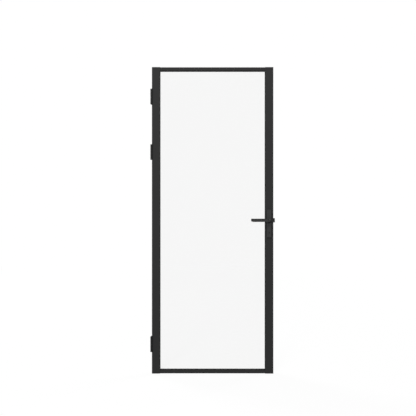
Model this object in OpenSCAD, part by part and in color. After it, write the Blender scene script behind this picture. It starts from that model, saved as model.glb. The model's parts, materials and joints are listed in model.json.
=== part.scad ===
// Framed glass door leaf with butt hinges, mortice lock and lever handles, millimetres.
// +Z up, -Y towards the viewer, hinge side at -X, origin at the bottom centre of the leaf.

/* [Leaf] */
// Width over both stiles
leaf_w = 832; // [700:1:1000]
// Height over the end caps
leaf_h = 2100; // [1900:1:2400]
// Thickness of the leaf
leaf_t = 40; // [36:1:60]
// Height of the top and bottom rails
rail_h = 23; // [20:1:60]
// Thickness of the caps on the stile ends
cap_t = 1.5; // [1:0.5:4]

/* [Profiles] */
// Wall of the stiles and rails on their faces
face_wall = 2; // [1.5:0.1:3]
// Wall of the stiles along the door edge
edge_wall = 3; // [2:0.1:5]
// Thin walls round the glazing groove
web_t = 1.5; // [1:0.1:2.5]
// Radius of the outer corners of the profiles
corner_r = 1.2; // [0.5:0.1:2]
// Depth of the glazing groove
groove_d = 9; // [8:0.5:18]

/* [Glass] */
// Thickness of the pane
glass_t = 8; // [5:0.5:12]
// Length of the pane held inside the groove
glass_bite = 6; // [5:0.5:7]
// Rubber on each side of the pane
gasket_side = 3; // [2:0.5:4]
// Rubber under the edge of the pane
gasket_base = 2; // [1:0.5:2.5]
// Rubber standing out of the groove
gasket_lip = 0.8; // [0.5:0.1:2]

/* [Hinges] */
// Centre of the top hinge below the top of the leaf
hinge_top_drop = 203; // [150:1:300]
// Centre of the second hinge below the top of the leaf
hinge_mid_drop = 583; // [450:1:1100]
// Centre of the bottom hinge above the bottom of the leaf
hinge_bottom_rise = 203; // [150:1:300]
// Height of the hinge leaves
hinge_h = 102; // [80:1:130]
// Thickness of the hinge leaves
hinge_leaf_t = 3; // [2.5:0.1:4]
// Space between the closed hinge leaves
hinge_gap = 1; // [0.6:0.1:3]
// Width of a hinge leaf from the pin axis
hinge_reach = 34; // [30:1:38]
// Outer radius of the knuckles
knuckle_r = 6.5; // [6:0.1:8]
// Radius of the hinge pin
pin_r = 3.75; // [3:0.05:4.5]
// Height of the button tips
tip_h = 2; // [1.5:0.1:5]
// Thickness of the thrust washers
washer_t = 1.4; // [0.8:0.1:2]
// Radius of the screw holes in the frame-side hinge leaves
hinge_hole_r = 2.75; // [2.5:0.05:3]

/* [Lock] */
// Height of the handle spindle above the bottom of the leaf
lock_z = 1050; // [900:1:1150]
// Spindle axis behind the door edge
backset = 30; // [25:0.5:40]
// Cylinder axis below the spindle axis
cylinder_drop = 85; // [70:1:92]
// Distance the latch bolt stands out
latch_throw = 12; // [8:0.5:12.5]
// Height of the latch bolt
latch_h = 29; // [24:0.5:30]
// Thickness of the latch bolt and the deadbolt
bolt_t = 12; // [9:0.5:13]
// Height of the deadbolt
bolt_h = 28; // [20:0.5:30]
// Distance the deadbolt travels
bolt_throw = 14; // [10:0.5:16]
// Reach of the cylinder cam
cam_r = 13.4; // [13:0.1:16]
// Lock case above the spindle axis
case_up = 40; // [30:1:60]
// Lock case below the cylinder axis
case_under = 27; // [26:1:40]
// Thickness of the lock case
case_t = 16; // [15:0.5:20]
// Sheet thickness of the lock case
case_wall = 1.2; // [0.8:0.1:1.4]
// Width of the forend
forend_w = 22; // [18:0.5:26]
// Forend beyond each end of the lock case
forend_over = 44; // [36:1:60]

/* [Handle] */
// Width of the backplates
plate_w = 32; // [30:1:40]
// Backplates above the spindle axis
plate_up = 74; // [60:1:110]
// Backplates below the cylinder axis
plate_under = 32; // [29:1:60]
// Thickness of the backplates
plate_t = 10; // [7:0.5:12]
// Wall of the backplates
plate_wall = 2; // [1.5:0.1:3]
// Bevel on the rim of the backplates
plate_bevel = 1; // [0.5:0.1:1.5]
// Radius of the lever neck
neck_r = 11.6; // [9:0.1:12]
// Height of the lever bar
lever_h = 19.5; // [18:0.5:28]
// Thickness of the lever bar
lever_t = 9; // [7:0.5:14]
// Lever tip from the spindle axis
lever_reach = 116; // [100:1:150]
// Radius of the lever's bend, in the middle of the bar
bend_r = 14; // [8:0.5:18]
// Rounding of the lever's edges
lever_edge = 1.2; // [0.5:0.1:3]
// Space between the leaf and the lever bar
lever_gap = 39; // [36:1:60]
// Side of the square spindle
spindle_a = 8; // [7:0.5:9]

/* [Hidden] */
$fn = 48;
// running and sliding clearances
run_gap = 0.05;
slip_gap = 0.3;
half_w = leaf_w / 2;
half_t = leaf_t / 2;
// profile layout, measured inwards from the door edge
groove_w = glass_t + 2 * gasket_side;
case_back = cam_r + 0.6 + case_wall;
chamber_end = backset + case_back + slip_gap;
stile_w = chamber_end + web_t + groove_d;
open_w = leaf_w - 2 * stile_w;
frame_z0 = cap_t;
frame_z1 = leaf_h - cap_t;
open_z0 = frame_z0 + rail_h;
open_z1 = frame_z1 - rail_h;
leg_w = half_t - face_wall - groove_w / 2 - web_t;
port_y = groove_w / 2 + web_t + leg_w / 2;
port_in = rail_h - (groove_d + face_wall) / 2;
port_r = 2.15;
boss_r = (groove_d - face_wall) / 2 + 0.4;
corner_head_r = 4.6;
access_r = 5.25;
plug_in = edge_wall + 1.5;
spigot_h = port_in - corner_head_r - 2.4;
// hinges
hinge_out = hinge_gap / 2 + hinge_leaf_t;
hinge_z = [leaf_h - hinge_top_drop, leaf_h - hinge_mid_drop, hinge_bottom_rise];
washer_gap = washer_t + 2 * run_gap;
knuckle_h = (hinge_h - 4 * washer_gap) / 5;
hole_far = hinge_reach - 9;
hole_near = hinge_reach - 20;
hole_out = hinge_h * 0.375;
hole_in = hinge_h * 0.125;
hinge_holes = [[hole_far, hole_out], [hole_near, hole_in], [hole_near, -hole_in], [hole_far, -hole_out]];
hinge_head_r = 4.6;
screw_r = 2.45;
door_hole_r = screw_r + 0.1;
backing_t = 4;
// lock, measured from the spindle axis
case_half = case_t / 2 - case_wall;
case_down = cylinder_drop + case_under;
case_front = backset - edge_wall;
forend_up = case_up + forend_over;
forend_down = case_down + forend_over;
forend_screw_in = 8;
hub_r = spindle_a * 0.5 * sqrt(2) + 2.85;
journal_r = hub_r - 1;
nose_t = 5;
nose_r = latch_throw * sqrt(2);
latch_rear = hub_r + latch_throw + 0.5;
tail_w0 = norm([nose_r, nose_t / 2]) + slip_gap;
tail_w1 = tail_w0 + 3.2;
lug_w0 = hub_r + 1.1;
lug_u1 = lug_w0 - nose_t / sqrt(2) - 0.4;
spring_r = 2.2;
spring_wire = 0.4;
spring_w = -hub_r - 3;
spring_u0 = case_wall - case_back + 0.1;
spring_u1 = latch_rear - 0.1;
bolt_w0 = cam_r + 1 - cylinder_drop;
bolt_w1 = bolt_w0 + bolt_h;
bolt_mid = (bolt_w0 + bolt_w1) / 2;
bolt_tail_u = case_wall - case_back + 0.5;
stump_u = bolt_tail_u + 5.5 + bolt_throw;
tab_t = 3;
tab_in = 15;
tab_out = 20;
rivet_out = 10;
cyl_half = half_t + plate_t + 2;
cyl_leg = 19.5;
plug_r = 6.5;
cam_t = 9.8;
// handle, depths measured outwards from the leaf face
plate_down = cylinder_drop + plate_under;
plate_screw_in = 12;
plate_screws = [plate_up - plate_screw_in, (spring_w - spring_r - spring_wire + bolt_w1) / 2];
bush_r = neck_r + 2;
bush_h = plate_t - 3.5;
clip_d = plate_t - bush_h - 0.1;
clip_t = 1.2;
post_r = 4;
lever_mid = lever_gap + lever_t / 2;
neck_end = lever_mid - bend_r;
shoulder_t = 4;
shoulder_d = neck_end - shoulder_t - 1;
spindle_d = shoulder_d - 4;
grub_d = (plate_t + spindle_d) / 2;

// extrusions along the axes and round rods along the axes
module prism_x(x0, x1) translate([x0, 0, 0]) rotate([90, 0, 90]) linear_extrude(x1 - x0) children();
module prism_y(y0, y1) translate([0, y1, 0]) rotate([90, 0, 0]) linear_extrude(y1 - y0) children();
module prism_z(z0, z1) translate([0, 0, z0]) linear_extrude(z1 - z0) children();
module rod_x(r, x0, x1) translate([x0, 0, 0]) rotate([0, 90, 0]) cylinder(r = r, h = x1 - x0);
module rod_y(r, y0, y1) translate([0, y1, 0]) rotate([90, 0, 0]) cylinder(r = r, h = y1 - y0);

// rectangle from a to b with rounded corners
module round_rect(a, b, r) {
    translate([a[0] + r, a[1]]) square([b[0] - a[0] - 2 * r, b[1] - a[1]]);
    translate([a[0], a[1] + r]) square([b[0] - a[0], b[1] - a[1] - 2 * r]);
    for (x = [a[0] + r, b[0] - r], y = [a[1] + r, b[1] - r])
        translate([x, y]) circle(r);
}

// countersunk screw with a hexagon socket, head face at z = 0, pointing down
module csk_screw(r, head_r, len) {
    difference() {
        union() {
            translate([0, 0, -len]) cylinder(r = r, h = len);
            translate([0, 0, r - head_r]) cylinder(r1 = r, r2 = head_r, h = head_r - r);
        }
        translate([0, 0, -1.6]) cylinder(r = r * 0.7, h = 2, $fn = 6);
    }
}

// hole for such a screw
module csk_hole(r, head_r, len) {
    translate([0, 0, -len]) cylinder(r = r, h = len + 1);
    translate([0, 0, r - head_r]) cylinder(r1 = r, r2 = head_r, h = head_r - r);
    cylinder(r = head_r, h = 1);
}

// positions: stiles with x measured inwards from the edge, hinges from the pin axis, lock from the spindle
module at_hinge_stile() translate([-half_w, 0, 0]) children();
module at_lock_stile() translate([half_w, 0, 0]) mirror([1, 0, 0]) children();
module at_hinge(i) translate([-half_w - hinge_out, -half_t - knuckle_r, hinge_z[i]]) children();
module at_lock() translate([half_w - backset, 0, lock_z]) children();
module at_lock_rear() at_lock() mirror([0, 1, 0]) children();

// stile

// hollow stile profile with a wide chamber, the glazing groove and a small hollow on each side of it
module stile_section() {
    difference() {
        round_rect([0, -half_t], [stile_w, half_t], corner_r);
        translate([edge_wall, face_wall - half_t])
            square([chamber_end - edge_wall, leaf_t - 2 * face_wall]);
        translate([stile_w - groove_d, -groove_w / 2]) square([groove_d + 1, groove_w]);
        for (s = [-1, 1])
            translate([stile_w - groove_d, s * port_y - leg_w / 2]) square([groove_d - face_wall, leg_w]);
    }
}

// places its children at the four corner screws of a stile
module corner_spots() {
    for (y = [-port_y, port_y], z = [frame_z0 + port_in, frame_z1 - port_in])
        translate([0, y, z]) children();
}

module stile_bar() {
    difference() {
        prism_z(frame_z0, frame_z1) stile_section();
        corner_spots() {
            rod_x(access_r, -1, plug_in + 0.5);
            rod_x(port_r + 0.6, edge_wall, stile_w + 1);
        }
    }
}

module hinge_stile() color("#1d1d1e") {
    difference() {
        at_hinge_stile() stile_bar();
        for (i = [0:2], p = hinge_holes)
            at_hinge(i) translate([0, p[0], p[1]]) rod_x(door_hole_r, 0, hinge_out + edge_wall + 1);
    }
}

module lock_stile() color("#1d1d1e") {
    difference() {
        at_lock_stile() stile_bar();
        at_lock() {
            prism_x(case_front - 1, backset + 1) forend_outline(0.1);
            rod_y(bush_r, -half_t - 1, half_t + 1);
            prism_y(-half_t - 1, half_t + 1) euro_profile(0.5);
            for (w = plate_screws)
                translate([0, 0, w]) rod_y(post_r + slip_gap, -half_t - 1, half_t + 1);
            for (w = tab_rivet_spots())
                translate([backset, 0, w]) rotate([0, 90, 0]) csk_hole(2.05, 3.6, edge_wall + 1);
        }
    }
}

// rail

// hollow rail profile, y across the leaf and the outer face at height 0
module rail_section() {
    difference() {
        union() {
            difference() {
                round_rect([-half_t, 0], [half_t, rail_h], corner_r);
                translate([face_wall - half_t, face_wall])
                    square([leaf_t - 2 * face_wall, rail_h - groove_d - web_t - face_wall]);
                for (s = [-1, 1])
                    translate([s * port_y - leg_w / 2, rail_h - groove_d])
                        square([leg_w, groove_d - face_wall]);
            }
            for (s = [-1, 1])
                translate([s * port_y, port_in]) circle(boss_r);
        }
        translate([-groove_w / 2, rail_h - groove_d]) square([groove_w, groove_d + 1]);
        for (s = [-1, 1])
            translate([s * port_y, port_in]) circle(port_r);
    }
}

module rail_bar() prism_x(-open_w / 2, open_w / 2) rail_section();

module bottom_rail() color("#1d1d1e") translate([0, 0, frame_z0]) rail_bar();

module top_rail() color("#1d1d1e") translate([0, 0, frame_z1]) mirror([0, 0, 1]) rail_bar();

// glazing

// upright rectangle round the opening of the frame, larger by m on every side
module pane_outline(m) {
    translate([-open_w / 2 - m, open_z0 - m]) square([open_w + 2 * m, open_z1 - open_z0 + 2 * m]);
}

module glass_pane() color("#dfe6e4", 0.3) prism_y(-glass_t / 2, glass_t / 2) pane_outline(glass_bite);

module glazing_gasket() color("#101010") {
    difference() {
        prism_y(-groove_w / 2, groove_w / 2) pane_outline(glass_bite + gasket_base);
        prism_y(-glass_t / 2, glass_t / 2) pane_outline(glass_bite);
        prism_y(-groove_w / 2 - 1, groove_w / 2 + 1) pane_outline(-gasket_lip);
    }
}

// corner screws, plugs and caps

module corner_screw() {
    difference() {
        union() {
            rod_x(corner_head_r, chamber_end - 3.4, chamber_end);
            rod_x(port_r - run_gap, chamber_end - 1, stile_w + 25);
        }
        translate([chamber_end - 4, 0, 0]) rotate([0, 90, 0]) cylinder(r = 2.3, h = 2.6, $fn = 6);
    }
}

module corner_screws() color("#9a9ca0") {
    at_hinge_stile() corner_spots() corner_screw();
    at_lock_stile() corner_spots() corner_screw();
}

// cup-shaped plug, closed face flush with the door edge
module hole_plug() {
    difference() {
        rod_x(access_r - slip_gap / 2, 0, plug_in);
        rod_x(access_r - 1.4, 1.5, plug_in + 0.5);
    }
}

module hole_plugs() color("#161616") {
    at_hinge_stile() corner_spots() hole_plug();
    at_lock_stile() corner_spots() hole_plug();
}

// cap on a stile end at z = 0, spigot pointing down into the chamber
module stile_cap() {
    prism_z(0, cap_t) round_rect([0, -half_t], [stile_w, half_t], corner_r);
    difference() {
        prism_z(-spigot_h, 0.5)
            translate([edge_wall + 0.1, face_wall + 0.1 - half_t])
                square([chamber_end - edge_wall - 0.2, leaf_t - 2 * face_wall - 0.2]);
        prism_z(-spigot_h - 1, 0)
            translate([edge_wall + 2, face_wall + 2 - half_t])
                square([chamber_end - edge_wall - 4, leaf_t - 2 * face_wall - 4]);
    }
}

module hinge_stile_top_cap() color("#161616") at_hinge_stile() translate([0, 0, frame_z1]) stile_cap();

module hinge_stile_bottom_cap() color("#161616")
    at_hinge_stile() translate([0, 0, frame_z0]) mirror([0, 0, 1]) stile_cap();

module lock_stile_top_cap() color("#161616") at_lock_stile() translate([0, 0, frame_z1]) stile_cap();

module lock_stile_bottom_cap() color("#161616")
    at_lock_stile() translate([0, 0, frame_z0]) mirror([0, 0, 1]) stile_cap();

// hinges

// bottom of knuckle k, counted upwards from 0
function knuckle_z(k) = k * (knuckle_h + washer_gap) - hinge_h / 2;

// leaf plate outline with its two free corners rounded
module leaf_outline() {
    r = 4;
    translate([0, -hinge_h / 2]) square([hinge_reach - r, hinge_h]);
    translate([0, r - hinge_h / 2]) square([hinge_reach, hinge_h - 2 * r]);
    for (s = [-1, 1])
        translate([hinge_reach - r, s * (hinge_h / 2 - r)]) circle(r);
}

// barrel of a hinge leaf round the pin, with bevelled ends
module knuckle() {
    c = 0.5;
    r = knuckle_r;
    h = knuckle_h;
    rotate_extrude() polygon([[0, 0], [r - c, 0], [r, c], [r, h - c], [r - c, h], [0, h]]);
}

// hinge leaf on the +X side of the pin, with its own knuckles and room for the other leaf's knuckles
module hinge_leaf(own, other, hole_r) {
    difference() {
        union() {
            prism_x(hinge_gap / 2, hinge_out) leaf_outline();
            for (k = own)
                translate([0, 0, knuckle_z(k)]) knuckle();
        }
        translate([0, 0, -hinge_h]) cylinder(r = pin_r + run_gap, h = 2 * hinge_h);
        for (k = other)
            translate([0, 0, knuckle_z(k) - washer_gap])
                cylinder(r = knuckle_r + slip_gap, h = knuckle_h + 2 * washer_gap);
        for (p = hinge_holes)
            translate([hinge_gap / 2, p[0], p[1]]) rotate([0, -90, 0])
                csk_hole(hole_r, hinge_head_r + 0.1, hinge_leaf_t + 1);
    }
}

module frame_leaf(i) color("#202021")
    at_hinge(i) mirror([1, 0, 0]) hinge_leaf([0, 2, 4], [1, 3], hinge_hole_r);

module door_leaf(i) color("#202021") at_hinge(i) hinge_leaf([1, 3], [0, 2, 4], door_hole_r);

// low round button with a bevelled rim, standing on z = 0
module button_tip() {
    r = knuckle_r - 0.4;
    cylinder(r = r, h = tip_h - 0.8);
    translate([0, 0, tip_h - 0.8]) cylinder(r1 = r, r2 = r - 0.8, h = 0.8);
}

module pin(i) color("#202021") at_hinge(i) {
    translate([0, 0, 6 - hinge_h / 2]) cylinder(r = pin_r, h = hinge_h - 5.5);
    translate([0, 0, hinge_h / 2]) button_tip();
}

module top_hinge_frame_leaf() frame_leaf(0);

module top_hinge_door_leaf() door_leaf(0);

module top_hinge_pin() pin(0);

module mid_hinge_frame_leaf() frame_leaf(1);

module mid_hinge_door_leaf() door_leaf(1);

module mid_hinge_pin() pin(1);

module bottom_hinge_frame_leaf() frame_leaf(2);

module bottom_hinge_door_leaf() door_leaf(2);

module bottom_hinge_pin() pin(2);

module hinge_pin_tips() color("#202021") {
    for (i = [0:2])
        at_hinge(i) translate([0, 0, -hinge_h / 2]) {
            mirror([0, 0, 1]) button_tip();
            translate([0, 0, -0.5]) cylinder(r = pin_r, h = 6);
        }
}

module hinge_washers() color("#2a2a2a") {
    for (i = [0:2], k = [1:4])
        at_hinge(i) translate([0, 0, knuckle_z(k) - run_gap - washer_t])
            difference() {
                cylinder(r = knuckle_r - 0.3, h = washer_t);
                translate([0, 0, -1]) cylinder(r = pin_r + run_gap, h = washer_t + 2);
            }
}

module hinge_screws() color("#3a3a3c") {
    for (i = [0:2], p = hinge_holes)
        at_hinge(i) translate([hinge_gap / 2, p[0], p[1]]) rotate([0, -90, 0])
            csk_screw(screw_r, hinge_head_r, hinge_leaf_t + edge_wall + backing_t + 2);
}

module hinge_backing_plates() color("#9a9ca0") {
    x0 = hinge_out + edge_wall;
    y0 = knuckle_r + face_wall + 0.3;
    for (i = [0:2])
        at_hinge(i) difference() {
            prism_x(x0, x0 + backing_t)
                round_rect([y0, -hinge_h / 2 + 4], [hinge_reach - 2, hinge_h / 2 - 4], 2);
            for (p = hinge_holes)
                translate([0, p[0], p[1]]) rod_x(screw_r + run_gap, x0 - 1, x0 + backing_t + 1);
        }
}

// lock

// profile cylinder outline round the cylinder axis, larger by m
module euro_profile(m) {
    translate([0, -cylinder_drop]) {
        circle(8.5 + m);
        translate([-5 - m, -cyl_leg]) square([10 + 2 * m, cyl_leg]);
        translate([0, -cyl_leg]) circle(5 + m);
    }
}

// forend outline, y across and w up, larger by m
module forend_outline(m) {
    round_rect([-forend_w / 2 - m, -forend_down - m], [forend_w / 2 + m, forend_up + m], 3 + m);
}

function forend_screw_spots() = [forend_up - forend_screw_in, forend_screw_in - forend_down];
function tab_rivet_spots() = [forend_up + rivet_out, -forend_down - rivet_out];

module forend() color("#1f1f20") at_lock() {
    difference() {
        prism_x(case_front, backset) forend_outline(0);
        prism_x(case_front - 1, backset + 1) {
            translate([-bolt_t / 2 - slip_gap, -latch_h / 2 - slip_gap])
                square([bolt_t + 2 * slip_gap, latch_h + 2 * slip_gap]);
            translate([-bolt_t / 2 - slip_gap, bolt_w0 - slip_gap])
                square([bolt_t + 2 * slip_gap, bolt_h + 2 * slip_gap]);
        }
        for (w = concat(forend_screw_spots(), [-cylinder_drop - cyl_leg]))
            translate([backset, 0, w]) rotate([0, 90, 0]) csk_hole(screw_r + 0.15, 4.7, edge_wall + 1);
    }
}

module lock_case() color("#8f9296") at_lock() {
    difference() {
        prism_y(case_wall - case_t / 2, case_t / 2)
            translate([-case_back, -case_down]) square([case_back + case_front, case_down + case_up]);
        prism_y(-case_t / 2, case_half)
            translate([case_wall - case_back, case_wall - case_down])
                square([case_back + case_front, case_down + case_up - 2 * case_wall]);
        rod_y(journal_r + run_gap, 0, case_t);
        translate([0, 0, plate_screws[1]]) rod_y(post_r + slip_gap, 0, case_t);
        prism_y(0, case_t) euro_profile(0.4);
    }
    translate([stump_u, 0, bolt_mid]) rod_y(2.4, 0.3 - case_half, case_half + 0.5);
}

module lock_cover() color("#8f9296") at_lock() {
    difference() {
        prism_y(-case_t / 2, case_wall - case_t / 2)
            translate([-case_back, -case_down]) square([case_back + case_front, case_down + case_up]);
        rod_y(journal_r + run_gap, -case_t, 0);
        translate([0, 0, plate_screws[1]]) rod_y(post_r + slip_gap, -case_t, 0);
        prism_y(-case_t, 0) euro_profile(0.4);
    }
}

// tabs behind the door edge that carry the two ends of the forend
module lock_tabs() color("#9a9ca0") at_lock() {
    half = forend_w / 2 - 2;
    ends = [[forend_up - tab_in, forend_up + tab_out], [-forend_down - tab_out, tab_in - forend_down]];
    for (w = ends)
        difference() {
            prism_x(case_front - tab_t, case_front) round_rect([-half, w[0]], [half, w[1]], 2);
            for (s = forend_screw_spots())
                translate([0, 0, s]) rod_x(screw_r + run_gap, 0, backset);
            for (s = tab_rivet_spots())
                translate([0, 0, s]) rod_x(2.05, 0, backset);
        }
}

module forend_screws() color("#3a3a3c") at_lock() {
    for (w = forend_screw_spots())
        translate([backset, 0, w]) rotate([0, 90, 0]) csk_screw(screw_r, 4.6, edge_wall + tab_t + 3);
}

// flush rivets with a closing head behind each tab
module tab_rivets() color("#3a3a3c") at_lock() {
    for (w = tab_rivet_spots())
        translate([0, 0, w]) {
            rod_x(2, case_front - tab_t - 0.5, backset);
            translate([backset - 1.5, 0, 0]) rotate([0, 90, 0]) cylinder(r1 = 2, r2 = 3.5, h = 1.5);
            rod_x(3.4, case_front - tab_t - 1.5, case_front - tab_t);
        }
}

// latch bolt with a slanted nose, a rear flange and a tail whose lug is pushed by the follower
module latch_bolt() color("#232324") at_lock() {
    b = bolt_t / 2;
    tip = backset + latch_throw;
    prism_z(-latch_h / 2, latch_h / 2)
        polygon([[latch_rear, -b], [tip, -b], [tip, 3 - b], [backset + 0.5, b], [latch_rear, b]]);
    prism_y(-b, b) translate([latch_rear, -latch_h / 2])
        square([case_front - 0.2 - latch_rear, latch_h / 2 + tail_w1]);
    prism_y(-3, 3) {
        translate([lug_u1 - 3, tail_w0]) square([latch_rear + 1 - lug_u1 + 3, tail_w1 - tail_w0]);
        translate([lug_u1 - 3, lug_w0]) square([3, tail_w1 - lug_w0]);
    }
}

// round wire wound along +X from u0 to u1
module coil(r, wire, turns, u0, u1) {
    n = turns * 16;
    m = 8;
    ring = [for (i = [0:n], j = [0:m - 1])
        let (a = i / 16 * 360, b = j / m * 360, q = r + wire * cos(b))
        [u0 + wire + (u1 - u0 - 2 * wire) * i / n + wire * sin(b), q * cos(a), q * sin(a)]];
    side = [for (i = [0:n - 1], j = [0:m - 1])
        [i * m + j, i * m + (j + 1) % m, (i + 1) * m + (j + 1) % m, (i + 1) * m + j]];
    ends = [[for (j = [0:m - 1]) m - 1 - j], [for (j = [0:m - 1]) n * m + j]];
    polyhedron(ring, concat(side, ends));
}

module latch_spring() color("#b4b6ba") at_lock()
    translate([0, 0, spring_w]) coil(spring_r, spring_wire, 9, spring_u0, spring_u1);

// hub with two journals, a square hole and a nose that leans towards the bolt at rest
module follower() color("#8f9296") at_lock() {
    difference() {
        union() {
            rod_y(hub_r, slip_gap - case_half, case_half - slip_gap);
            rod_y(journal_r, -case_t / 2 - 0.2, case_t / 2 + 0.2);
            prism_y(-3, 3) rotate(-45) translate([-nose_t / 2, 0]) square([nose_t, nose_r]);
        }
        cube([spindle_a + 0.1, case_t + 2, spindle_a + 0.1], center = true);
    }
}

// deadbolt drawn back behind the forend, with a slotted tail guided on the stump of the case
module deadbolt() color("#232324") at_lock() {
    b = bolt_t / 2;
    difference() {
        union() {
            prism_y(-b, b) translate([backset - 18, bolt_w0]) square([17.5, bolt_h]);
            prism_y(-3, 3) translate([bolt_tail_u, bolt_mid - 7])
                square([backset - 17 - bolt_tail_u, 14]);
        }
        translate([stump_u - bolt_throw, 0, bolt_mid]) rod_y(3, -b - 1, b + 1);
        translate([stump_u, 0, bolt_mid]) rod_y(3, -b - 1, b + 1);
        prism_y(-b - 1, b + 1) translate([stump_u - bolt_throw, bolt_mid - 3]) square([bolt_throw, 6]);
    }
}

// cylinder

module cylinder_body() color("#29292b") at_lock() {
    difference() {
        prism_y(-cyl_half, cyl_half) euro_profile(0);
        translate([0, 0, -cylinder_drop]) {
            rod_y(plug_r + run_gap, -cyl_half - 1, cyl_half + 1);
            translate([-2 * cam_r, -cam_t / 2 - 0.1, -cam_r - 0.4])
                cube([4 * cam_r, cam_t + 0.2, 3 * cam_r]);
            translate([0, 0, -cyl_leg]) rod_x(screw_r + run_gap, -10, 10);
        }
    }
}

// half of the core on the front side, with its keyway
module plug() at_lock() translate([0, 0, -cylinder_drop]) {
    difference() {
        rod_y(plug_r, -cyl_half, -cam_t / 2);
        translate([-1, -cyl_half - 1, -4.4]) cube([2, 24, 8.8]);
        translate([-2, -cyl_half - 1, -1.2]) cube([2, 24, 1.6]);
    }
}

module front_plug() color("#353537") plug();

module rear_plug() color("#353537") mirror([0, 1, 0]) plug();

module cylinder_cam() color("#8f9296") at_lock() translate([0, 0, -cylinder_drop]) {
    rod_y(8.2, -cam_t / 2, cam_t / 2);
    intersection() {
        rod_y(cam_r, -cam_t / 2, cam_t / 2);
        translate([-4, -cam_t / 2, -cam_r - 1]) cube([8, cam_t, cam_r + 1]);
    }
}

module cylinder_screw() color("#3a3a3c") at_lock()
    translate([backset, 0, -cylinder_drop - cyl_leg]) rotate([0, 90, 0])
        csk_screw(screw_r, 4.6, backset + 4);

// handle

// depth outwards from the front face of the leaf to a Y coordinate
function out_y(d) = -half_t - d;

// backplate outline, smaller by m
module plate_outline(m)
    round_rect([m - plate_w / 2, m - plate_down], [plate_w / 2 - m, plate_up - m], 3 - m / 2);

// rectangle from a to b with its first edge, at a[0], bevelled at both ends
module bevelled(a, b, c) polygon([[b[0], a[1]], [b[0], b[1]], [a[0] + c, b[1]], [a[0], b[1] - c],
    [a[0], a[1] + c], [a[0] + c, a[1]]]);

// hollow backplate with a bevelled rim, a seat for the bush and the cylinder opening
module plate_shell() {
    difference() {
        union() {
            difference() {
                intersection() {
                    prism_y(out_y(plate_t), out_y(0)) plate_outline(0);
                    prism_x(-plate_w, plate_w)
                        bevelled([out_y(plate_t), -plate_down], [out_y(-1), plate_up], plate_bevel);
                    prism_z(-plate_down - 1, plate_up + 1) rotate(90)
                        bevelled([out_y(plate_t), -plate_w / 2], [out_y(-1), plate_w / 2], plate_bevel);
                }
                prism_y(out_y(plate_t - plate_wall), out_y(-1)) plate_outline(plate_wall);
            }
            rod_y(bush_r + 1.5, out_y(plate_t - 0.5), out_y(plate_t - bush_h));
        }
        rod_y(bush_r + run_gap, out_y(plate_t + 1), out_y(-1));
        prism_y(out_y(plate_t + 1), out_y(-1)) euro_profile(slip_gap);
    }
}

// front plate: threaded posts reach through the stile
module front_backplate() color("#1b1b1c") at_lock() {
    plate_shell();
    for (w = plate_screws)
        translate([0, 0, w]) difference() {
            rod_y(post_r, out_y(plate_t - 0.5), -4);
            rod_y(screw_r + run_gap, out_y(plate_t - 3), 0);
        }
}

// rear plate: solid seats for the screw heads
module rear_backplate() color("#1b1b1c") at_lock_rear() {
    difference() {
        union() {
            plate_shell();
            for (w = plate_screws)
                translate([0, 0, w]) rod_y(6.5, out_y(plate_t - 0.5), out_y(0));
        }
        for (w = plate_screws)
            translate([0, out_y(plate_t), w]) rotate([90, 0, 0])
                csk_hole(screw_r + slip_gap, 4.7, plate_t + 1);
    }
}

module bush() {
    difference() {
        rod_y(bush_r, out_y(plate_t), out_y(plate_t - bush_h));
        rod_y(neck_r + run_gap, out_y(plate_t + 1), out_y(0));
    }
}

module front_bush() color("#262626") at_lock() bush();

module rear_bush() color("#262626") at_lock_rear() bush();

// section of the lever bar, thickness across and height up
module lever_section() round_rect([-lever_t / 2, -lever_h / 2], [lever_t / 2, lever_h / 2], lever_edge);

// flat bar bent round at its root, with a rounded tip
module lever_bar() {
    h = lever_h / 2;
    prism_y(out_y(neck_end), out_y(shoulder_d)) lever_section();
    translate([-bend_r, out_y(neck_end), 0]) rotate(-90)
        rotate_extrude(angle = 90) translate([bend_r, 0]) lever_section();
    intersection() {
        translate([0, out_y(lever_mid), 0]) prism_x(-lever_reach, -bend_r) lever_section();
        prism_y(out_y(lever_gap + lever_t + 1), out_y(lever_gap - 1))
            round_rect([-lever_reach, -h], [h, h], 2);
        prism_z(-h - 1, h + 1)
            round_rect([-lever_reach, out_y(lever_gap + lever_t)], [h, out_y(lever_gap)], 2);
    }
}

// lever: bar on a round neck with a sloping shoulder, a ring groove and a square socket
module lever() {
    difference() {
        union() {
            rod_y(neck_r, out_y(shoulder_d), out_y(0.6));
            translate([0, out_y(shoulder_d), 0]) rotate([90, 0, 0])
                cylinder(r1 = neck_r, r2 = neck_r - shoulder_t, h = shoulder_t);
            lever_bar();
        }
        difference() {
            rod_y(neck_r + 1, out_y(clip_d + 0.1), out_y(clip_d - clip_t - 0.1));
            rod_y(neck_r - 1, out_y(clip_d + 1), out_y(clip_d - clip_t - 1));
        }
        translate([-spindle_a / 2 - 0.05, out_y(spindle_d + 0.5), -spindle_a / 2 - 0.05])
            cube([spindle_a + 0.1, lever_gap, spindle_a + 0.1]);
        translate([0, out_y(grub_d), -neck_r - 1]) cylinder(r = screw_r + run_gap, h = neck_r);
    }
}

module front_lever() color("#1b1b1c") at_lock() lever();

module rear_lever() color("#1b1b1c") at_lock_rear() lever();

// retaining ring behind the bush
module lever_clip() {
    difference() {
        rod_y(neck_r + 1.5, out_y(clip_d), out_y(clip_d - clip_t));
        rod_y(neck_r - 1 + run_gap, out_y(clip_d + 1), out_y(clip_d - clip_t - 1));
        translate([-1.5, out_y(clip_d + 1), 0]) cube([3, clip_t + 2, neck_r + 3]);
    }
}

module lever_clips() color("#9a9ca0") {
    at_lock() lever_clip();
    at_lock_rear() lever_clip();
}

module spindle() color("#8f9296") at_lock()
    cube([spindle_a, leaf_t + 2 * spindle_d, spindle_a], center = true);

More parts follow.
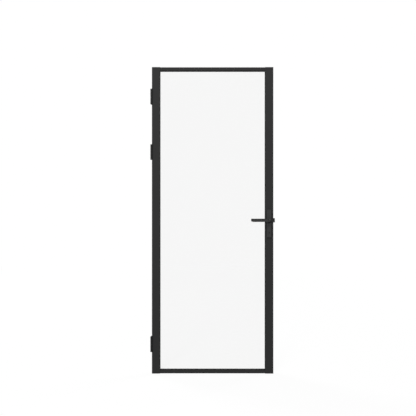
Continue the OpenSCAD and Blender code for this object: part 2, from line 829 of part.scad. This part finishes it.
// set screw pressing on the spindle from below
module grub_screw() {
    z0 = 0.4 - neck_r;
    difference() {
        translate([0, out_y(grub_d), z0]) cylinder(r = screw_r, h = -spindle_a / 2 - 0.06 - z0);
        translate([0, out_y(grub_d), z0 - 1]) cylinder(r = 1.4, h = 3, $fn = 6);
    }
}

module grub_screws() color("#3a3a3c") {
    at_lock() grub_screw();
    at_lock_rear() grub_screw();
}

module plate_screws() color("#3a3a3c") at_lock_rear() {
    for (w = plate_screws)
        translate([0, out_y(plate_t), w]) rotate([90, 0, 0])
            csk_screw(screw_r, 4.6, plate_t + leaf_t - 5);
}

hinge_stile();
lock_stile();
top_rail();
bottom_rail();
glass_pane();
glazing_gasket();
corner_screws();
hole_plugs();
hinge_stile_top_cap();
hinge_stile_bottom_cap();
lock_stile_top_cap();
lock_stile_bottom_cap();
top_hinge_frame_leaf();
top_hinge_door_leaf();
top_hinge_pin();
mid_hinge_frame_leaf();
mid_hinge_door_leaf();
mid_hinge_pin();
bottom_hinge_frame_leaf();
bottom_hinge_door_leaf();
bottom_hinge_pin();
hinge_pin_tips();
hinge_washers();
hinge_screws();
hinge_backing_plates();
lock_case();
lock_cover();
forend();
lock_tabs();
forend_screws();
tab_rivets();
latch_bolt();
latch_spring();
follower();
deadbolt();
cylinder_body();
front_plug();
rear_plug();
cylinder_cam();
cylinder_screw();
front_backplate();
rear_backplate();
front_bush();
rear_bush();
front_lever();
rear_lever();
lever_clips();
spindle();
grub_screws();
plate_screws();
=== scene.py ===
"""Looks of a framed glass door: black coated profiles, clear pane, butt hinges, lock and lever handles."""

import json
import math

import bpy
import numpy as np
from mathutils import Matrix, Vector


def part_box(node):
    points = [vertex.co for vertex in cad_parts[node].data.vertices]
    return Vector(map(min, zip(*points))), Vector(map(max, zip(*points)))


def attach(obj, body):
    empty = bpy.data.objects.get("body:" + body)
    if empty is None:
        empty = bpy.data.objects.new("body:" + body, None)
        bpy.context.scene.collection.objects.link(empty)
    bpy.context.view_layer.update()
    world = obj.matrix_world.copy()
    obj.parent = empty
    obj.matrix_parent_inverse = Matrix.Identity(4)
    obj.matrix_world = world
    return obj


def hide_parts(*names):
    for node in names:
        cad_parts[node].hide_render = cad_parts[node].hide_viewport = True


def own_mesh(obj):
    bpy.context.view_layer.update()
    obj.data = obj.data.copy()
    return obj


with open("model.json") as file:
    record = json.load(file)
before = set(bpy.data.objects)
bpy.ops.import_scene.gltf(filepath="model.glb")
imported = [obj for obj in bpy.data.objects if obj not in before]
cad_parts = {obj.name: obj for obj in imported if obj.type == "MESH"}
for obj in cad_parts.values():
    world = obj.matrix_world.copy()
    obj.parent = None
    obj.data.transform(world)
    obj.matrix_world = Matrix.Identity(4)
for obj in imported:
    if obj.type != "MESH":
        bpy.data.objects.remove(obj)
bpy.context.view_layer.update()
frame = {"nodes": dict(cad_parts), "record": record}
NODES = frame["nodes"]


# ---- shader helpers


class Finish:
    """A material under construction: one Principled shader, and short calls for the nodes that feed it."""

    def __init__(self, name, **sockets):
        self.mat = bpy.data.materials.new(name)
        self.mat.use_nodes = True
        self.tree = self.mat.node_tree
        self.shader = self.tree.nodes["Principled BSDF"]
        self.place = self.add("ShaderNodeTexCoord").outputs["Object"]
        self.put(**sockets)

    def put(self, **sockets):
        """The material, after its shader's inputs are set or linked."""
        for socket, value in sockets.items():
            self.feed(self.shader, socket.replace("_", " "), value)
        return self.mat

    def add(self, kind, **values):
        """A node of that kind; values are set on its properties, or on the sockets of that name."""
        node = self.tree.nodes.new(kind)
        for key, value in values.items():
            if hasattr(node, key):
                setattr(node, key, value)
            else:
                self.feed(node, key.replace("_", " "), value)
        return node

    def feed(self, node, socket, value):
        """Links value to the node's input if it is another node's output, or else sets it there."""
        if isinstance(value, bpy.types.NodeSocket):
            self.tree.links.new(value, node.inputs[socket])
        else:
            node.inputs[socket].default_value = value

    def noise(self, scale, detail=3.0, rough=0.5, stretch=(1, 1, 1)):
        """Noise in 0..1 with scale waves to a metre, drawn out along the axes whose share in stretch is small."""
        spread = self.add("ShaderNodeMapping", Vector=self.place, Scale=stretch)
        return self.add("ShaderNodeTexNoise", Vector=spread.outputs[0], Scale=scale, Detail=detail,
                        Roughness=rough).outputs["Fac"]

    def ramp(self, value, *stops):
        """value sent through straight lines between (position, colour or grey) stops."""
        node = self.add("ShaderNodeValToRGB", Fac=value)
        ends = node.color_ramp.elements
        while len(ends) < len(stops):
            ends.new(0.5)
        for end, (at, shade) in zip(ends, stops):
            end.position = at
            end.color = (*shade, 1) if isinstance(shade, tuple) else (shade, shade, shade, 1)
        return node.outputs["Color"]

    def span(self, value, low, high, at=(0.0, 1.0), eased=False):
        """value in at[0]..at[1] moved to low..high, along a straight line or an eased one."""
        return self.add("ShaderNodeMapRange", Value=value, From_Min=at[0], From_Max=at[1], To_Min=low,
                        To_Max=high, interpolation_type="SMOOTHSTEP" if eased else "LINEAR").outputs[0]

    def sum(self, a, b, share):
        """a plus share times b."""
        return self.add_math("MULTIPLY_ADD", b, share, a)

    def add_math(self, how, *terms):
        """The result of a Math node over these terms."""
        node = self.add("ShaderNodeMath", operation=how)
        for i, term in enumerate(terms):
            self.feed(node, i, term)
        return node.outputs[0]

    def relief(self, height, depth):
        """Bump from height in 0..1, depth metres high."""
        node = self.add("ShaderNodeBump", Height=height, Distance=depth, Strength=1.0)
        self.put(Normal=node.outputs[0])


# ---- finishes


def powder_coat(name, dark, light, rough, grain=1500, peel=0.00012, specular=0.3, grip=None):
    """Baked powder coat: grains of two tones, orange peel and finer pits in relief, and gloss that drifts slowly.
    grip is the stretch of X, in metres, that hands have rubbed smoother."""
    drift, rubbed = 0.07, 0.12
    f = Finish(name, Specular_IOR_Level=specular)
    cloud = f.noise(5.0, detail=4.0, rough=0.55)
    fleck = f.noise(grain, detail=2.0, rough=0.6)
    wave = f.noise(grain * 0.28, detail=2.0)
    tone = f.sum(f.span(cloud, 0.42, 0.58), f.span(fleck, -0.5, 0.5, at=(0.3, 0.7)), 0.8)
    gloss = f.span(f.sum(cloud, fleck, 0.5), rough - drift, rough + drift, at=(0.3, 1.2))
    if grip:
        middle, half = (grip[0] + grip[1]) / 2, (grip[1] - grip[0]) / 2
        x = f.add("ShaderNodeSeparateXYZ", Vector=f.place).outputs["X"]
        away = f.add_math("ABSOLUTE", f.add_math("SUBTRACT", x, middle))
        gloss = f.sum(gloss, f.span(away, 1.0, 0.0, at=(half * 0.5, half)), -rubbed)
    f.relief(f.sum(fleck, wave, 1.4), peel)
    return f.put(Base_Color=f.ramp(tone, (0.1, dark), (0.9, light)), Roughness=gloss)


def clear_glass():
    """Toughened pane: faint grey body, polished faces with a breath of haze and wipe marks in the gloss."""
    f = Finish("clear_toughened_glass", Base_Color=(0.970, 0.970, 0.970, 1), Transmission_Weight=1.0, IOR=1.45,
               Specular_IOR_Level=0.5)
    wipe = f.noise(3.0, detail=5.0, rough=0.6, stretch=(1.0, 1.0, 0.35))
    return f.put(Roughness=f.span(wipe, 0.0, 0.012, at=(0.45, 0.8)))


def gasket_rubber():
    """Extruded rubber: fine grain in relief, dull bloom in patches."""
    f = Finish("gasket_rubber", Specular_IOR_Level=0.3)
    bloom = f.noise(18.0, detail=4.0, rough=0.6)
    f.relief(f.noise(1500.0, detail=2.0), 0.00004)
    return f.put(Base_Color=f.ramp(bloom, (0.3, 0.006), (0.75, 0.013)), Roughness=f.span(bloom, 0.6, 0.8))


def trim_plastic():
    """Moulded nylon: spark-eroded grain, slightly paler where the grain is raised."""
    f = Finish("trim_nylon", Specular_IOR_Level=0.35)
    grain = f.noise(1900.0, detail=3.0, rough=0.65)
    f.relief(grain, 0.00008)
    return f.put(Base_Color=f.ramp(grain, (0.3, 0.009), (0.75, 0.017)), Roughness=f.span(grain, 0.5, 0.66))


def zinc_steel():
    """Zinc-plated steel: bright skin with a drifting yellow and blue passivation tint and fine rolling scratches."""
    blue, grey, yellow = (0.50, 0.52, 0.56), (0.60, 0.60, 0.60), (0.62, 0.59, 0.50)
    f = Finish("zinc_plated_steel", Metallic=1.0)
    tint = f.noise(90.0, detail=3.0)
    scratch = f.noise(1400.0, detail=2.0, rough=0.6, stretch=(1.0, 1.0, 0.06))
    f.relief(scratch, 0.00002)
    return f.put(Base_Color=f.ramp(tint, (0.3, blue), (0.55, grey), (0.75, yellow)),
                 Roughness=f.span(scratch, 0.26, 0.42))


def rubbed_black(name, dark, light, bare, along):
    """Blackened metal rubbed to fine bare scratches, drawn out along the axis whose share in along is small."""
    f = Finish(name, Specular_IOR_Level=0.25)
    rub = f.noise(2600.0, detail=2.0, rough=0.6, stretch=along)
    cloud = f.noise(160.0, detail=3.0)
    f.relief(rub, 0.00003)
    return f.put(Base_Color=f.ramp(f.sum(rub, cloud, 0.3), (0.5, dark), (0.8, light), (0.9, bare)),
                 Roughness=f.span(rub, 0.5, 0.34))


LEVER_GRIP = (0.272, 0.352)
FINISHES = {
    "frame_coat": powder_coat("frame_powder_coat", 0.0140, 0.0210, 0.68, specular=0.03),
    "pane": clear_glass(),
    "gasket": gasket_rubber(),
    "trim": trim_plastic(),
    "hinge_coat": powder_coat("hinge_enamel", 0.0115, 0.0165, 0.5, grain=1800, peel=0.00006, specular=0.08),
    "zinc_steel": zinc_steel(),
    "lock_coat": powder_coat("lock_black_plate", 0.0160, 0.0210, 0.44, grain=3600, peel=0.00002, specular=0.2),
    "handle_coat": powder_coat("handle_satin_coat", 0.0190, 0.0245, 0.5, grain=2600, peel=0.00005, specular=0.1),
}
# Finishes for single nodes: real rubbed wear on all of them, and painted shade in the darker tones of the key plugs
# and levers.
WORN_AND_SHADE_PAINTED_FINISHES = {
    # The key plugs are darker than the bolts: painted shade of the keyholes. Their bare scratches are real wear.
    ("front_plug", "rear_plug"):
        rubbed_black("key_plug_black_painted_shade", 0.0085, 0.0105, bare=(0.030, 0.026, 0.020), along=(1.0, 1.0, 0.07)),
    ("latch_bolt", "deadbolt"):
        rubbed_black("sliding_bolt_black", 0.0145, 0.0185, bare=(0.034, 0.034, 0.034), along=(0.05, 1.0, 1.0)),
    # The levers take the handle coat with darker tones: painted shade against the light their top edges catch. The
    # smoother grip is real wear.
    ("front_lever", "rear_lever"):
        powder_coat("lever_satin_coat_painted_shade", 0.0175, 0.0225, 0.5, grain=2600, peel=0.00005, specular=0.1,
                    grip=LEVER_GRIP),
}
for part in frame["record"]["subparts"]:
    slots = NODES[part["node"]].data.materials
    slots.clear()
    slots.append(FINISHES[part["material_slot"]])
for nodes, worn_and_shaded in WORN_AND_SHADE_PAINTED_FINISHES.items():
    for node in nodes:
        NODES[node].data.materials[0] = worn_and_shaded


# ---- pieces worked out as grids of points

SHARP_ANGLE = math.radians(40)


def skin(name, points, slot, body, wrap_rows=False):
    """Mesh over points[row, column]: each row is joined to the next and closed on itself, and so are the rows if
    wrap_rows, or else the first and last row are closed with one face each. Turned so that its volume is positive."""
    rows, cols = points.shape[:2]
    index = np.arange(rows * cols).reshape(rows, cols)
    near = index if wrap_rows else index[:-1]
    far = np.roll(index, -1, 0) if wrap_rows else index[1:]
    quads = np.stack([near, np.roll(near, -1, 1), np.roll(far, -1, 1), far], -1).reshape(-1, 4)
    flat = points.reshape(-1, 3)
    a, b, c, d = (flat[quads[:, i]] - flat.mean(0) for i in range(4))
    if (np.cross(a, b) * c + np.cross(a, c) * d).sum() < 0:
        quads = quads[:, ::-1]
        index = index[:, ::-1]
    faces = quads.tolist()
    if not wrap_rows:
        faces += [index[0, ::-1].tolist(), index[-1].tolist()]
    mesh = bpy.data.meshes.new(name)
    mesh.from_pydata(flat.tolist(), [], faces)
    mesh.shade_smooth()
    mesh.set_sharp_from_angle(angle=SHARP_ANGLE)
    mesh.materials.append(FINISHES[slot])
    piece = bpy.data.objects.new(name, mesh)
    bpy.context.scene.collection.objects.link(piece)
    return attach(piece, body)


def coil_spring():
    """Round wire on a helix about X. The turn t runs evenly, and x rises in three straight pieces: one thickness of
    the wire over the first turn and over the last, so that both ends lie closed, and the rest between them. The
    wire's circle stands square to the helix at each t."""
    low, high = (np.array(p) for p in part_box("latch_spring"))
    wire, turns, steps, around = 0.0004, 11, 22, 10
    middle = (low + high) / 2
    radius = (high[2] - low[2]) / 2 - wire
    t = np.linspace(0, turns, turns * steps + 1)
    closed = 2 * wire
    top = high[0] - low[0] - closed
    turn = 2 * np.pi * t
    outward = np.stack([0 * t, np.cos(turn), np.sin(turn)], -1)
    centre = np.array([low[0] + wire, middle[1], middle[2]]) + radius * outward
    centre[:, 0] += np.interp(t, [0, 1, turns - 1, turns], [0, closed, top - closed, top])
    along = np.gradient(centre, axis=0)
    along /= np.linalg.norm(along, axis=1, keepdims=True)
    side = np.cross(along, outward)
    ring = np.linspace(0, 2 * np.pi, around, endpoint=False)[None, :, None]
    tube = centre[:, None] + wire * (np.cos(ring) * outward[:, None] + np.sin(ring) * side[:, None])
    spring = skin("latch_coil", tube, "zinc_steel", "leaf")
    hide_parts("latch_spring")
    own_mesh(spring)


def glazing_seal():
    """Channel section carried round the pane. A point of the section is (out, y), out measured outwards from the
    pane's edge, and at each corner it lies at half the pane's width and height plus out, so that the corners are
    mitred. Each lip is half an ellipse from the groove's wall over to the glass."""
    pane_low, pane = (np.array(p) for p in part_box("glass_pane"))
    groove = np.array(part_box("glazing_gasket")[1])
    base, wall, face = groove[0] - pane[0], groove[1], pane[1]
    bite = pane[2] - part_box("top_rail")[0][2]
    lip, edge, lip_points = 0.0008, 0.0005, 13
    a = np.linspace(0, np.pi, lip_points)
    lips = np.stack([-bite - lip * np.sin(a), (wall + face) / 2 + (wall - face) / 2 * np.cos(a)], -1)
    half = np.concatenate([[[base, wall - edge], [base - edge, wall]], lips, [[0, face]]])
    section = np.concatenate([half, half[::-1] * [1, -1]])
    middle = (pane_low + pane) / 2
    corner = np.array([[1, 1], [-1, 1], [-1, -1], [1, -1]])
    out, y = section[None, :, 0], section[None, :, 1]
    x = middle[0] + corner[:, :1] * (pane[0] - middle[0] + out)
    z = middle[2] + corner[:, 1:] * (pane[2] - middle[2] + out)
    loops = np.stack([x, np.broadcast_to(y, x.shape), z], -1)
    seal = skin("glazing_seal", loops, "gasket", "leaf", wrap_rows=True)
    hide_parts("glazing_gasket")


coil_spring()
glazing_seal()


# ---- room, light and camera

ROOM_WHITE = 1.003
ROOM_FILL = 0.25
AIM = (0.0, 0.0, 1.1)
SOFT_BOXES = (
    # name, place, side in metres, watts, whether the pane throws a shadow in its light
    ("key_box", (-0.6, -3.4, 4.6), 2.0, 186, False),
    ("front_box", (-2.6, -9.5, 3.8), 1.5, 710, False),
    ("rear_left_box", (-5.5, 5.5, 5.4), 3.0, 800, True),
    ("rear_right_box", (6.5, 4.5, 4.8), 3.0, 620, False),
)


def pale_floor():
    """Matt white round the door that takes its shadow, passing into glow alone farther out, so that the whole stays
    as pale as the room, and no brighter than the fill where a gloss mirrors it. matt is the share of light given
    back, lamps the lamp light near the door, and reach where the matt fades, in metres from the middle."""
    matt, lamps, reach = 0.036, 1.82, (2.5, 7.5)
    f = Finish("floor_white", Roughness=1.0, Specular_IOR_Level=0.0, Emission_Color=(1, 1, 1, 1))
    far = f.add("ShaderNodeVectorMath", operation="LENGTH")
    f.feed(far, 0, f.place)
    away = far.outputs["Value"]
    shade = f.span(away, matt, 0.0, reach, eased=True)
    glow = f.span(away, ROOM_WHITE - matt * lamps, ROOM_WHITE, reach, eased=True)
    mirrored = f.add("ShaderNodeLightPath").outputs["Glossy Depth"]
    return f.put(Base_Color=shade,
                 Emission_Strength=f.add_math("MULTIPLY", glow, f.span(mirrored, 1.0, ROOM_FILL)))


def floor_sheet(half, z):
    """Square sheet at height z: x and y run from -half to half on a grid of two by two points."""
    x, y = np.meshgrid([-half, half], [-half, half])
    points = np.stack([x, y, np.full((2, 2), z)], -1).reshape(-1, 3)
    mesh = bpy.data.meshes.new("floor_sheet")
    mesh.from_pydata(points.tolist(), [], [(0, 1, 3, 2)])
    sheet = bpy.data.objects.new("floor_sheet", mesh)
    bpy.context.scene.collection.objects.link(sheet)
    mesh.materials.append(pale_floor())


def all_but(node):
    """Light-linking group of everything but that node."""
    group = bpy.data.collections.new("all_but_" + node)
    group.objects.link(NODES[node])
    group.collection_objects[0].light_linking.link_state = "EXCLUDE"
    return group


def soft_box(name, place, size, watts, lit, shading):
    """Square studio softbox at place, turned to the door, that lights the group lit and is shaded by the group
    shading, or by everything if that is None."""
    lamp = bpy.data.lights.new(name, "AREA")
    lamp.size, lamp.energy = size, watts
    box = bpy.data.objects.new(name, lamp)
    bpy.context.scene.collection.objects.link(box)
    box.light_linking.receiver_collection = lit
    box.light_linking.blocker_collection = shading
    back = np.array(place) - np.array(AIM)
    box.location = place
    box.rotation_euler = (math.acos(back[2] / np.linalg.norm(back)), 0, math.atan2(back[0], -back[1]))


def white_room(seen, fill):
    """World that the eye sees white, also through the glass, and that gives a dimmer even fill to the surfaces."""
    world = bpy.data.worlds.new("white_room")
    bpy.context.scene.world = world
    world.use_nodes = True
    tree = world.node_tree
    tree.nodes.clear()
    path = tree.nodes.new("ShaderNodeLightPath").outputs

    def join(how, a, b):
        node = tree.nodes.new("ShaderNodeMath")
        node.operation, node.use_clamp = how, True
        tree.links.new(a, node.inputs[0])
        tree.links.new(b, node.inputs[1])
        return node.outputs[0]

    straight = join("MAXIMUM", path["Is Camera Ray"], path["Is Transmission Ray"])
    bounced = join("ADD", path["Diffuse Depth"], path["Glossy Depth"])
    level = tree.nodes.new("ShaderNodeMapRange")
    level.inputs["To Min"].default_value, level.inputs["To Max"].default_value = fill, seen
    tree.links.new(join("SUBTRACT", straight, bounced), level.inputs["Value"])
    air = tree.nodes.new("ShaderNodeBackground")
    air.inputs["Color"].default_value = (1, 1, 1, 1)
    tree.links.new(level.outputs[0], air.inputs["Strength"])
    tree.links.new(air.outputs[0], tree.nodes.new("ShaderNodeOutputWorld").inputs["Surface"])


def eye(place, lens, sensor):
    """Level camera looking along +Y."""
    data = bpy.data.cameras.new("eye")
    data.lens, data.sensor_width = lens, sensor
    cam = bpy.data.objects.new("eye", data)
    bpy.context.scene.collection.objects.link(cam)
    cam.location, cam.rotation_euler = place, (math.pi / 2, 0, 0)
    bpy.context.scene.camera = cam


floor_sheet(half=200.0, z=-0.0005)
white_room(ROOM_WHITE, ROOM_FILL)
# The pane would mirror each lamp as a hard white patch, so none lights it.
all_but_pane = all_but("glass_pane")
for box_name, box_place, side, power, pane_shades in SOFT_BOXES:
    soft_box(box_name, box_place, side, power, all_but_pane, None if pane_shades else all_but_pane)
eye(place=(-0.0317, -3.978, 1.1345), lens=50.0, sensor=36.0)
bpy.context.scene.view_settings.view_transform = "Standard"
